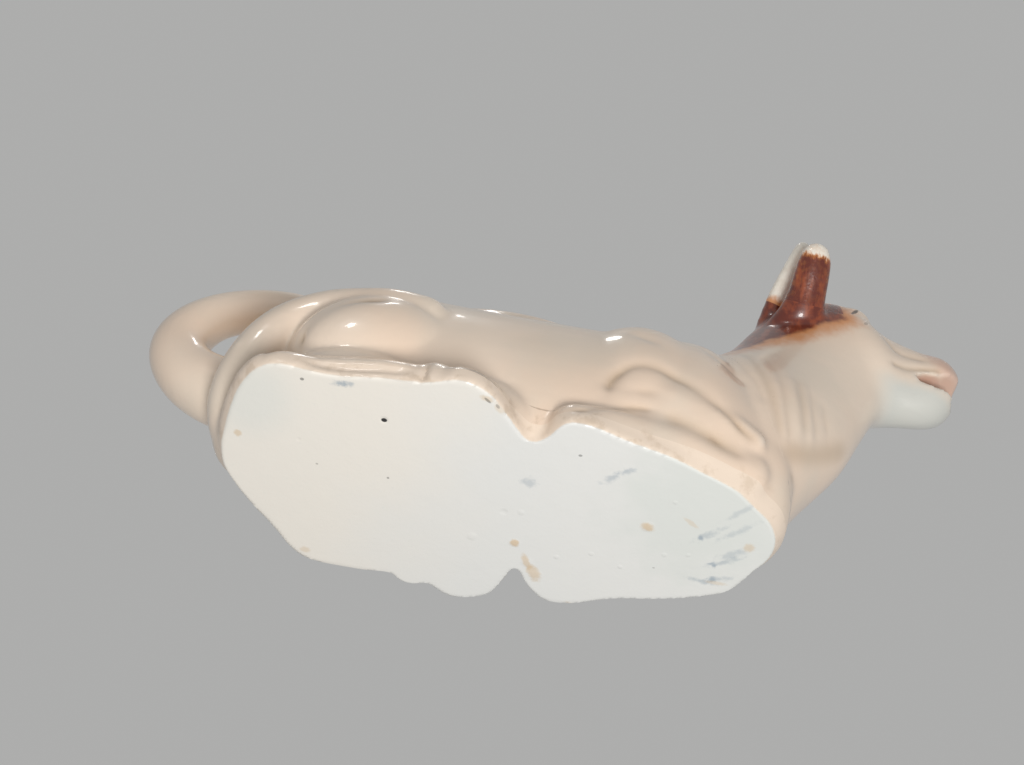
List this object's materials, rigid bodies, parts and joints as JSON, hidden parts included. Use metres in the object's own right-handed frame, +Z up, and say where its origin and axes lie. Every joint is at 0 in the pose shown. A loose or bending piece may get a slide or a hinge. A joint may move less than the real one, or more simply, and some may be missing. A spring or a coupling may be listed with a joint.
{
  "type": "cream jug",
  "caption": "Glazed porcelain cream jug shaped as a lying cow, filled through the back, poured through the open mouth, with the tail as a loop handle on a flat base",
  "frame": {"origin": "middle of the flat base, on the surface that the jug stands on", "axes": "+X from tail to nose, +Z up, -Y to the cow's right flank"},
  "size_m": [0.1838, 0.0615, 0.0871],
  "materials": {
    "cream_glaze": "glossy ivory glaze over porcelain, tan where it pools in creases",
    "white_glaze": "thin cool white glaze with a few kiln marks",
    "brown_glaze": "sprayed red-brown under a glossy glaze, ivory tip",
    "horn_glaze": "glossy ivory glaze"
  },
  "bodies": {
    "root": {"body_shell": "cream_glaze", "base_slab": "white_glaze", "head_shell": "cream_glaze", "tail_handle": "cream_glaze", "ear_right": "brown_glaze", "ear_left": "brown_glaze", "horn_right": "horn_glaze", "horn_left": "horn_glaze"}
  },
  "joints": []
}
